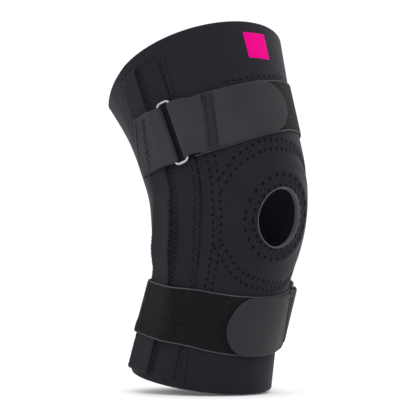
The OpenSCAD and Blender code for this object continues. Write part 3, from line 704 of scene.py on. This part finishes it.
def sleeve_half(half):
    u = np.concatenate([np.linspace(-72, 72, 119), np.linspace(72, 288, 112)[1:-1]])
    s = stations_for(u, half)
    uu = np.repeat(u[:, None], s.shape[1], axis=1)
    flat = on_leg(uu, s)
    r = from_opening(flat)
    front = cosd(uu) > 0.5
    cell_out = lambda a: (a[:, :-1] + a[:, 1:] + np.roll(a, -1, 0)[:, :-1] + np.roll(a, -1, 0)[:, 1:]) / 4
    hole = (cell_out(r) < 1) & cell_out(front.astype(float)).astype(bool)
    columns, height = s.shape
    index = np.arange(columns * height).reshape(columns, height)
    nxt = np.roll(index, -1, axis=0)
    quads = np.stack([index[:, :-1], index[:, 1:], nxt[:, 1:], nxt[:, :-1]], axis=-1)
    # the cells at the opening's edge are drawn to its oval
    used = np.zeros(columns * height, int)
    np.add.at(used, quads[hole].ravel(), 1)
    total = np.zeros(columns * height, int)
    np.add.at(total, quads.reshape(-1, 4).ravel(), 1)
    at_edge = ((used > 0) & (used < total)).reshape(columns, height)
    for _ in range(6):
        p = on_leg(uu, s)
        dx, dz = p[..., 0] + OPENING_SHIFT, p[..., 2] - OPENING_Z
        move = np.where(at_edge, 1 / np.maximum(from_opening(p), 1e-6) - 1, 0)
        uu = uu - np.degrees(move * dx / girth(HALF_WIDTH, s))
        s = s + np.where(s == 0, 0, move * dz / SPREAD)
    face = sleeve_face(uu, s)
    end = rim(uu, RIM_TOP if half == "upper" else RIM_LOW)
    from_rim = np.abs(end - s)
    roll = ROLL * (1 - np.sqrt(np.clip(1 - np.clip(1 - from_rim / ROLL, 0, 1) ** 2, 0, 1)))
    outer = on_leg(uu, s, face * smooth(from_rim / 4) - roll)
    inner = on_leg(uu, s, np.full(s.shape, -WALL) + roll + 0.25 * face)
    outer_n, inner_n = grid_normals(outer, True), -grid_normals(inner, True)
    size = columns * height
    faces, inner_faces, walls = sheet_faces(quads[~hole], size, frozenset(index[:, 0].tolist()))
    points = np.concatenate([outer.reshape(-1, 3), inner.reshape(-1, 3)])
    normals = np.concatenate([outer_n.reshape(-1, 3), inner_n.reshape(-1, 3)])
    uv = np.stack([arc_mm(uu, s), s], axis=-1).reshape(-1, 2)
    all_faces = faces + inner_faces + walls
    slots = [0] * len(faces) + [1] * len(inner_faces) + [2] * len(walls)
    used = np.unique(np.concatenate([np.array(f) for f in all_faces]))
    renumber = -np.ones(len(points), int)
    renumber[used] = np.arange(len(used))
    return make(f"sleeve_{half}", points[used], [renumber[list(f)] for f in all_faces],
                [NEOPRENE, LINING, NEOPRENE], np.concatenate([uv, uv])[used], slots, normals[used])


SLEEVE_NODES = {"upper": ["thigh_front_panel", "thigh_rear_panel", "knee_front_panel"],
                "lower": ["shin_front_panel", "shin_rear_panel", "popliteal_panel"]}
for half in ("upper", "lower"):
    sleeve = bend_at_knee(sleeve_half(half))
    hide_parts(*SLEEVE_NODES[half])


def tube(path, radius, sides=8, closed=False):
    """Points and faces of a round tube along a path; radius may vary along it."""
    path = np.asarray(path, float)
    radius = np.broadcast_to(np.asarray(radius, float), (len(path),))
    along = np.roll(path, -1, 0) - np.roll(path, 1, 0) if closed else np.gradient(path, axis=0)
    along /= np.maximum(np.linalg.norm(along, axis=1, keepdims=True), 1e-9)
    up = np.where(np.abs(along[:, 2:3]) > 0.9, [[0, 1, 0]], [[0, 0, 1]])
    side = np.cross(along, up)
    side /= np.linalg.norm(side, axis=1, keepdims=True)
    other = np.cross(along, side)
    a = np.linspace(0, 2 * np.pi, sides, endpoint=False)
    points = (path[:, None] + radius[:, None, None]
              * (np.cos(a)[None, :, None] * side[:, None] + np.sin(a)[None, :, None] * other[:, None]))
    n = len(path)
    faces = []
    for i in range(n if closed else n - 1):
        j = (i + 1) % n
        for k in range(sides):
            m = (k + 1) % sides
            faces.append((i * sides + k, i * sides + m, j * sides + m, j * sides + k))
    if not closed:
        faces.append(tuple(range(sides))[::-1])
        faces.append(tuple((n - 1) * sides + k for k in range(sides)))
    return points.reshape(-1, 3), faces


class Pile:
    """Collects many small meshes into one."""

    def __init__(self):
        self.points, self.faces, self.slots, self.uv, self.count = [], [], [], [], 0

    def add(self, points, faces, slot_index=0):
        self.points.append(points)
        self.faces += [tuple(self.count + i for i in f) for f in faces]
        self.slots += [slot_index] * len(faces)
        self.uv.append(points[:, [0, 2]] + points[:, [1, 1]] * 0.5)
        self.count += len(points)

    def build(self, name, materials):
        points, uv = np.concatenate(self.points), np.concatenate(self.uv)
        return make(name, points, self.faces, materials, uv, self.slots)


# ---------- bound edge of the kneecap opening, split at the knee like the sleeve ----------
def drop_on_face(x, z, off):
    """The places on the front face that project to x and z, at a height."""
    u = -np.degrees(np.arcsin(np.clip(x / 70, -1, 1)))
    s = (z - OPENING_Z) / 1.45 + BULGE_STATION
    for _ in range(12):
        p = on_leg(u, s, off)
        u = u + np.degrees((p[..., 0] - x) / 70)
        s = s - (p[..., 2] - z) / 1.45
    return u, s


# the edge's section, as distances out from the face and in towards the opening's middle
EDGE_SECTION = [(0.2, 0.75), (0.5, 0.35), (0.45, -0.2), (-0.1, -0.6), (-1.6, -0.75), (-3.4, -0.6),
                (-4.3, -0.1), (-4.5, 0.8)]


def opening_binding():
    count = 144
    a = np.linspace(0, 360, count, endpoint=False)
    x, z = (OPENING_W / 2 - 0.2) * cosd(a) - OPENING_SHIFT, (OPENING_H / 2 - 0.2) * sind(a) + OPENING_Z
    u, s = drop_on_face(x, z, -1.0)

    def crossing(last, beyond):
        """The angle at which the edge leaves this half through the plane at the knee."""
        return u[last] + (u[beyond] - u[last]) * s[last] / (s[last] - s[beyond])

    for half, keep in (("upper", s >= 0), ("lower", s <= 0)):
        k = keep.nonzero()[0]
        start = k[np.argmax(np.diff(np.concatenate([[k[-1] - count], k])))]
        run = (start + np.arange(len(k))) % count
        uu = np.array([crossing(run[0], run[0] - 1), *u[run], crossing(run[-1], (run[-1] + 1) % count)])
        ss = np.array([0, *s[run], 0])
        p = on_leg(uu, ss)
        radius = np.hypot(p[:, 0] + OPENING_SHIFT, p[:, 2] - OPENING_Z)
        sections = []
        for out, inward in EDGE_SECTION:
            spot = on_leg(uu, ss, out)
            spot[:, 0] += (p[:, 0] + OPENING_SHIFT) * inward / radius
            spot[:, 2] += (p[:, 2] - OPENING_Z) * inward / radius
            spot[ss == 0, 2] = 0
            sections.append(spot)
        grid = np.stack(sections, axis=1)
        n, m = grid.shape[:2]
        uv = np.stack(np.meshgrid(np.arange(n) * 1.1, np.arange(m) * 0.9, indexing="ij"), -1)
        obj = make(f"opening_edge_{half}", grid.reshape(-1, 3), grid_faces(n, m)[:, ::-1], [FOAM_EDGE],
                   uv.reshape(-1, 2))
        bend_at_knee(obj)


opening_binding()


# ---------- stitching ----------
def rungs(seam, lean):
    """Seven places along each stitch of a seam, as [u, s, off] triples."""
    line = seam.line
    x, y = arc_mm(line[:, 0], line[:, 1]), line[:, 1]
    run = np.concatenate([[0], np.cumsum(np.hypot(np.diff(x), np.diff(y)))])
    count = max(2, int(run[-1] / seam.pitch))
    out = []
    for k in range(count):
        at = (k + 0.5) * run[-1] / count
        u, s = np.interp(at, run, line[:, 0]), np.interp(at, run, line[:, 1])
        ahead = [np.interp(at + 1, run, c) - np.interp(at - 1, run, c) for c in (x, y)]
        t = np.array(ahead) / max(np.hypot(*ahead), 1e-6)
        n = np.array([-t[1], t[0]])
        slant = t * seam.pitch * lean * (1 if k % 2 else -1)
        half = seam.width / 2 * rng.uniform(0.9, 1.08)
        per_u = math.degrees(1 / (girth(HALF_WIDTH, s) + 3))
        ends = []
        for q in np.linspace(-1, 1, 7):
            d = n * half * q + slant * q
            uq, sq = u + d[0] * per_u, s + d[1]
            ends.append((uq, sq, 0.42 * (1 - q**6) - 0.12))
        out.append(np.array(ends))
    return out


def stitch(name, seams, face, radius=0.34, hole=0.9, lean=0.12):
    """Stitches and their needle holes along seams on a face, one piece for each half; the holes are
    near-black discs of painted shade.
    """
    piles = {"upper": Pile(), "lower": Pile()}
    thick = radius * np.array([0.75, 1.0, 1.05, 1.05, 1.05, 1.0, 0.75])
    for seam in seams:
        for r in rungs(seam, lean):
            pile = piles["upper" if r[3, 1] >= 0 else "lower"]
            path = on_leg(r[:, 0], r[:, 1], face(r[:, 0], r[:, 1]) + r[:, 2])
            path = path[3] + (path - path[3]) * THREAD_SHOWN
            pile.add(*tube(path, thick, 6), 0)
            for e in (0, -1):
                pile.add(*disc(face, r[e, 0], r[e, 1], hole), 1)
    for half, pile in piles.items():
        bend_at_knee(pile.build(f"{name}_{half}", [THREAD, HOLE_SHADE]))


def disc(face, u, s, radius):
    """A needle hole: a small near-black disc that lies on the face, its colour painted shade of the hole."""
    per_u = math.degrees(1 / (girth(HALF_WIDTH, s) + 3))
    a = np.linspace(0, 360, 10, endpoint=False)
    uu = np.concatenate([[u], u + radius * cosd(a) * per_u])
    ss = np.concatenate([[s], s + radius * sind(a)])
    lift = np.concatenate([[0.12], np.full(10, 0.05)])
    # the angle u grows towards -X, so the order is turned round
    return on_leg(uu, ss, face(uu, ss) + lift), [(0, 1 + (k + 1) % 10, 1 + k) for k in range(10)]


stitch("panel_stitching", sleeve_seams, sleeve_face, radius=0.3, hole=1.25, lean=0.5)
stitch("pocket_stitching", pocket_seams, side_face)


# ---------- hinge pockets ----------
def pocket_half(side, half):
    sign = 1 if side == "lateral" else -1
    t = np.linspace(0, 1, 58)
    rows_s = np.linspace(0, 1, 70)
    tt, q = np.meshgrid(t, rows_s, indexing="ij")
    rough = front_edge(0.0) + 0.3 + (rear_edge(0.0) - front_edge(0.0) - 0.3) * tt
    end = pocket_top(rough) if half == "upper" else pocket_low(rough)
    s = end * q
    u = front_edge(s) + 0.3 + (rear_edge(s) - front_edge(s) - 0.3) * tt
    face = pocket_face(u, s)
    width = np.radians(rear_edge(s) - front_edge(s)) * 70
    from_side = np.minimum(tt, 1 - tt) * width
    from_end = np.abs(end - s)
    edge = np.minimum(from_side, from_end)
    roll = (POCKET_WALL - 0.15) * (1 - np.sqrt(np.clip(1 - np.clip(1 - edge / 1.6, 0, 1) ** 2, 0, 1)))
    outer = on_leg(sign * u, s, face - roll)
    inner = on_leg(sign * u, s, pocket_inner(u, s) - 0.25)
    n, m = s.shape
    quads = grid_faces(n, m)
    if (sign > 0) == (half == "lower"):
        quads = quads[:, ::-1]
    normal = grid_normals(outer)
    away = np.sign((normal * (outer - np.array([0, 10, 0]))).sum(-1, keepdims=True))
    normal = normal * away
    faces, inner_faces, walls = sheet_faces(quads, n * m, frozenset(range(0, n * m, m)))
    uv = np.stack([arc_mm(u, s), s], -1).reshape(-1, 2)
    obj = make(f"{side}_pocket_{half}", np.concatenate([outer.reshape(-1, 3), inner.reshape(-1, 3)]),
               faces + inner_faces + walls, [POCKET, LINING], np.concatenate([uv, uv]),
               [0] * len(faces) + [1] * len(inner_faces) + [0] * len(walls),
               np.concatenate([normal.reshape(-1, 3), -normal.reshape(-1, 3)]))
    bend_at_knee(obj)
    part = "thigh" if half == "upper" else "shin"
    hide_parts(f"{side}_{part}_pocket", *([f"{side}_knee_pocket"] if half == "upper" else []))


for side in ("lateral", "medial"):
    for half in ("upper", "lower"):
        pocket_half(side, half)


# ---------- straps ----------
def ribbon(name, which, side, path, columns, body, mat, replaced, angle=None, thick=STRAP_T,
           half_width=None, joint=1.0):
    """A strap as a closed sheet with rounded edges.

    path(t, s) gives the points of its middle surface, t running from 0 to 1 along it, and angle(t) the
    angle at which its stations are taken. Past t = joint the outer face shows the sewn joint's cloth."""
    sign = 1 if side == "lateral" else -1
    across = 24
    t = np.linspace(0, 1, columns)
    q = 0.5 * (np.sin(np.linspace(-np.pi / 2, np.pi / 2, across)) + np.linspace(-1, 1, across))
    middle = strap_mid(which, np.full(columns, RING_U) if angle is None else angle(t))
    half_w = np.full(columns, STRAP_W / 2) if half_width is None else half_width(t)
    s = middle[:, None] + half_w[:, None] * q[None, :]
    mid = path(np.repeat(t[:, None], across, axis=1), s)
    normal = unit(np.cross(np.gradient(mid, axis=1), np.gradient(mid, axis=0)))
    from_edge = (1 - np.abs(q))[None, :] * half_w[:, None]
    body_t = thick / 2 * np.sqrt(np.clip(1 - np.clip(1 - from_edge / 0.9, 0, 1) ** 2, 0.02, 1))[..., None]
    mirror = np.array([sign, 1, 1])
    outer, inner = (mid - normal * body_t) * mirror, (mid + normal * body_t) * mirror
    n, m = s.shape
    size = n * m
    faces, inner_faces, walls = sheet_faces(grid_faces(n, m)[:, ::sign], size)
    steps = np.linalg.norm(np.diff(mid, axis=0), axis=-1)
    run = np.concatenate([np.zeros((1, m)), np.cumsum(steps, axis=0)])
    uv = np.stack([run, s], -1).reshape(-1, 2)
    slots = [int(min(f) % size // m >= joint * (n - 1)) for f in faces + inner_faces] + [0] * len(walls)
    obj = make(name, np.concatenate([outer.reshape(-1, 3), inner.reshape(-1, 3)]),
               faces + inner_faces + walls, [mat, JOINT], np.concatenate([uv, uv]), slots)
    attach(obj, body)
    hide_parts(replaced)


def rounded(u, end, half):
    """Half width of a strap whose end at that angle is round."""
    arc = np.sqrt(np.clip(1 - ((end + TAB_ROUND - u) / TAB_ROUND) ** 2, 0.004, 1))
    return half * np.where(u > end + TAB_ROUND, 1, arc)


def crowd(end, start):
    """Angles along a strap with a rounded end, closer together at the end."""
    def at(t):
        return np.where(t < 0.45, end + TAB_ROUND * (1 - np.cos(np.pi / 2 * t / 0.45)),
                        end + TAB_ROUND + (start - end - TAB_ROUND) * (t - 0.45) / 0.55)
    return at


def strap(which, side, end, body):
    band_end = float(bar_angle(-1, UPPER_STATION)) - math.degrees(BAND_SHORT / KNEE_HALF_WIDTH)
    tab_body = f"{which}_tab"

    def band_angle(t):
        return -BAND_REAR + (band_end + BAND_REAR) * t

    def band(t, s):
        u = band_angle(t)
        return on_leg(u, s, strap_under(which, u, s) + STRAP_T / 2)

    ribbon(f"{which}_band", which, side, band, 150, body, PILE, f"{which}_pile_band", band_angle)
    for edge, sign in (("upper_edge", 1), ("lower_edge", -1)):
        u = band_angle(np.linspace(0, 1, 150))
        s = strap_mid(which, u) + sign * (STRAP_W / 2 - 0.3)
        p = on_leg((1 if side == "lateral" else -1) * u, s, strap_under(which, u, s) + STRAP_T / 2 + 0.1)
        pile = Pile()
        pile.add(*tube(p, 0.65, 8))
        obj = pile.build(f"{which}_band_{edge}", [SELVEDGE])
        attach(obj, body)

    def folded(t, s):
        turn = round_bar(which, -1, s, -90 + 180 * np.clip(t / 0.34, 0, 1))
        u = bar_angle(-1, s) + (RETURN_END - bar_angle(-1, s)) * np.clip((t - 0.34) / 0.66, 0, 1)
        w = risen(u, s)[..., None]
        run = (on_leg(u, s, band_top(which, u, s) + STRAP_T / 2) * (1 - w)
               + beside_bar(which, -1, s, u, TURN_R) * w)
        return np.where(t[..., None] < 0.34, turn, run)

    ribbon(f"{which}_return", which, side, folded, 50, tab_body, WEBBING, f"{which}_return_strap")

    tab_at = crowd(end, TAB_START)

    def tab(t, s):
        u = tab_at(t)
        along = np.clip((u - end - TAB_ROUND) / (TAB_START - end - TAB_ROUND), 0, 1)
        u = u - TAB_SLANT * (s - strap_mid(which, u)) * along
        return on_leg(u, s, tab_under(which, u, s) + STRAP_T / 2)

    ribbon(f"{which}_tab", which, side, tab, 90, tab_body, WEBBING, f"{which}_hook_tab", tab_at,
           half_width=lambda t: rounded(tab_at(t), end, STRAP_W / 2),
           joint=1 - 0.55 * JOINT_SPAN / (TAB_START - end - TAB_ROUND))

    patch_at = crowd(end + HOOK_MARGIN, RETURN_END - HOOK_SHORT)

    def patch(t, s):
        u = patch_at(t)
        return on_leg(u, s, tab_under(which, u, s) - HOOK_T / 2)

    ribbon(f"{which}_hooks", which, side, patch, 50, tab_body, HOOKS, f"{which}_hook_patch", patch_at,
           thick=HOOK_T - 0.1,
           half_width=lambda t: rounded(patch_at(t), end + HOOK_MARGIN, STRAP_W / 2 - HOOK_MARGIN))

    def anchor(t, s):
        down = np.clip(t / 0.3, 0, 1)
        rear, bar = anchor_rear(which, s), bar_angle(1, s)
        u = rear + (bar - rear) * down
        w = smooth(down * 4 - 3)[..., None]
        lower = (on_leg(u, s, strap_under(which, u, s) + STRAP_T / 2 + 0.1) * (1 - w)
                 + beside_bar(which, 1, s, u, -TURN_R) * w)
        turn = round_bar(which, 1, s, -90 - 180 * np.clip((t - 0.3) / 0.3, 0, 1))
        upper = anchor_upper(which, bar + (rear - bar) * np.clip((t - 0.6) / 0.4, 0, 1), s)
        return np.where(t[..., None] < 0.3, lower, np.where(t[..., None] < 0.6, turn, upper))

    ribbon(f"{which}_anchor", which, side, anchor, 90, body, ANCHOR, f"{which}_anchor_loop")


strap("upper", "lateral", UPPER_TAB_END, "thigh")
strap("lower", "medial", LOWER_TAB_END, "shin")


# ---------- stitching on the straps ----------
def strap_stitches(name, which, side, lines, face, body):
    """Rows of stitches across a strap.

    Each line is (angle(h), zigzag half width, length of a stitch), h being the height from the strap's
    middle; face(u, s) gives points on the strap's middle surface."""
    sign = 1 if side == "lateral" else -1
    pile = Pile()
    middle = float(strap_mid(which, np.float64(lines[0][0](0))))
    per_u = math.degrees(1 / (girth(HALF_WIDTH, middle) + 5))
    mirror = np.array([sign, 1, 1])
    for angle, half, pitch in lines:
        low = middle - STRAP_W / 2 + 2.5
        for k in range(int((STRAP_W - 5) / pitch)):
            way = 1 if k % 2 else -1
            inset = 0.0 if half else 0.15
            q = np.linspace(0, 1, 6)
            s = low + pitch * (k + inset + (1 - 2 * inset) * q)
            u = angle(s - middle) + half * per_u * way * (2 * q - 1)
            at = face(u, s)
            out = unit(np.cross(face(u, s + 0.5) - at, face(u + 0.5, s) - at))
            height = STRAP_T / 2 + 0.26 * (1 - (2 * q - 1) ** 6) - 0.08
            pile.add(*tube((at + out * height[:, None]) * mirror, 0.4, 6), 0)
            # a near-black disc where the stitch goes in: painted shade of the needle hole
            spot = (at[0] + out[0] * (STRAP_T / 2 + 0.04)) * mirror
            across = unit(face(u[:1] + 0.5, s[:1])[0] - at[0]) * mirror
            up = unit(face(u[:1], s[:1] + 0.5)[0] - at[0]) * mirror
            a = np.linspace(0, 360, 8, endpoint=False)[:, None]
            edge = spot + 0.45 * (cosd(a) * across + sind(a) * up)
            order = [(0, *(1 + (j + 1) % 8, 1 + j)[::sign]) for j in range(8)]
            pile.add(np.concatenate([spot[None], edge]), order, 1)
    obj = pile.build(name, [THREAD_DARK, HOLE_SHADE])
    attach(obj, body)


def tab_face(which, u, s):
    return on_leg(u, s, tab_under(which, u, s) + STRAP_T / 2)


def slanted(start, slant):
    """A row of stitches across a strap, as its angle at a height."""
    return lambda h: start - slant * h


for which, side, fixed in (("upper", "lateral", "thigh"), ("lower", "medial", "shin")):
    strap_stitches(f"{which}_anchor_stitching", which, side,
                   [(slanted(89.5, 0.2), 1.9, 2.4), (slanted(ANCHOR_REAR - 2.0, ANCHOR_SLANT), 0, 3.0)],
                   lambda u, s: anchor_upper(which, u, s), fixed)
    strap_stitches(f"{which}_tab_stitching", which, side,
                   [(slanted(TAB_START - back, TAB_SLANT), 0, 2.6) for back in (1.4, 6.2)],
                   lambda u, s: tab_face(which, u, s), f"{which}_tab")


# ---------- label and kneecap pad ----------
def kneecap_pad(half):
    """The foam ring round the opening, inside the sleeve."""
    k = np.linspace(PAD_START, PAD_END, 9)
    start = np.degrees(np.arcsin(-BULGE_STATION * SPREAD / (k * OPENING_H / 2)))
    t = np.linspace(0, 1, 73)[:, None]
    a = start + (180 - 2 * start) * t if half == "upper" else 180 - start + (180 + 2 * start) * t
    s = BULGE_STATION + k * OPENING_H / 2 * sind(a) / SPREAD
    s[[0, -1]] = 0
    x = OPENING_SHIFT + k * OPENING_W / 2 * cosd(a)
    u = np.degrees(np.arcsin(x / (girth(HALF_WIDTH, s) + BULGE_H / 2)))
    hump = np.sin(np.pi * (k - PAD_START) / (PAD_END - PAD_START))
    thick = PAD_T * (0.35 + 0.65 * hump) + 0.12 * np.sin(a * 0.9) * np.cos(k * 40)
    outer = on_leg(u, s, -WALL - 0.45)
    inner = on_leg(u, s, -WALL - 0.45 - thick)
    n, m = s.shape
    quads = grid_faces(n, m)
    normal = np.cross(outer[1, 0] - outer[0, 0], outer[0, 1] - outer[0, 0])
    if normal[1] < 0:
        quads = quads[:, ::-1]
    ends = frozenset([*range(m), *range((n - 1) * m, n * m)])
    faces, inner_faces, walls = sheet_faces(quads, n * m, ends)
    uv = np.stack([arc_mm(u, s), s], -1).reshape(-1, 2)
    obj = make(f"kneecap_pad_{half}", np.concatenate([outer.reshape(-1, 3), inner.reshape(-1, 3)]),
               faces + inner_faces + walls, [PAD], np.concatenate([uv, uv]))
    bend_at_knee(obj)
    if half == "upper":
        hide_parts("kneecap_ring_pad")


for half in ("upper", "lower"):
    kneecap_pad(half)


def label():
    half, count = LABEL_SIZE / 2, 15
    t = np.linspace(-1, 1, count)
    span = math.degrees(half / CUFF_FRONT)
    uu, ss = np.meshgrid(LABEL_U + span * t, LABEL_STATION + half * t, indexing="ij")
    edge = (1 - np.maximum(np.abs(t)[:, None], np.abs(t)[None, :])) * half
    lift = 0.15 + 0.75 * smooth(edge / 0.8) - 0.2 * np.exp(-((edge - 1.8) / 0.5) ** 2)
    points = on_leg(uu, ss, sleeve_face(uu, ss) + lift)
    uv = np.stack([arc_mm(uu, ss), ss], -1).reshape(-1, 2)
    obj = make("label", points.reshape(-1, 3), grid_faces(count, count), [LABEL], uv)
    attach(obj, "thigh")
    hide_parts("label_patch")


label()


# ---------- carried-over hardware ----------
for name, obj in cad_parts.items():
    if obj.hide_render:
        continue
    for ending, mat in (("_ring", STEEL), ("_arm", ALUMINIUM), ("_plate", PLATE), ("_rivet", RIVET),
                        ("_washers", NYLON), ("_arm_cap", CAP)):
        if name.endswith(ending):
            obj.data.materials.clear()
            obj.data.materials.append(mat)

# ---------- stage ----------
low_z = min(v[2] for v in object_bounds())
bpy.ops.mesh.primitive_plane_add(size=60, location=(0, 0, low_z - 0.001))
floor = bpy.context.object
floor.name = "floor"
paper = plastic("floor_paper", (0.965, 0.965, 0.97), (0.985, 0.985, 0.99), 0.9)
floor.data.materials.append(paper)
floor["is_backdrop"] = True

world = bpy.data.worlds.new("studio")
bpy.context.scene.world = world
world.use_nodes = True
world.node_tree.nodes["Background"].inputs["Color"].default_value = (0.98, 0.985, 1.0, 1)
world.node_tree.nodes["Background"].inputs["Strength"].default_value = 1.07


def area(name, location, size, power, target=(0, 0, 0)):
    data = bpy.data.lights.new(name, "AREA")
    data.size, data.energy = size, power
    obj = bpy.data.objects.new(name, data)
    obj.location = location
    obj.rotation_euler = (Vector(target) - Vector(location)).to_track_quat("-Z", "Y").to_euler()
    bpy.context.scene.collection.objects.link(obj)


area("key", (-1.0, -1.6, 1.3), 1.0, 16)
area("side", (-1.8, 0.3, 0.5), 1.0, 7)
area("front", (1.4, -1.2, 0.4), 1.0, 3)
area("back", (0.8, 1.6, 1.2), 1.2, 8)

bpy.context.scene.view_settings.view_transform = "Standard"

CAMERA_AZ, CAMERA_D = 40.0, 2.2
camera_data = bpy.data.cameras.new("camera")
camera = bpy.data.objects.new("camera", camera_data)
bpy.context.scene.collection.objects.link(camera)
turn = math.radians(CAMERA_AZ)
camera.location = (-CAMERA_D * math.sin(turn), -CAMERA_D * math.cos(turn), 0)
camera.rotation_euler = (math.radians(90), 0, -turn)
camera_data.sensor_width = 36
camera_data.lens = 210.5654
camera_data.shift_x = -0.044952
camera_data.shift_y = 0.047356
bpy.context.scene.camera = camera
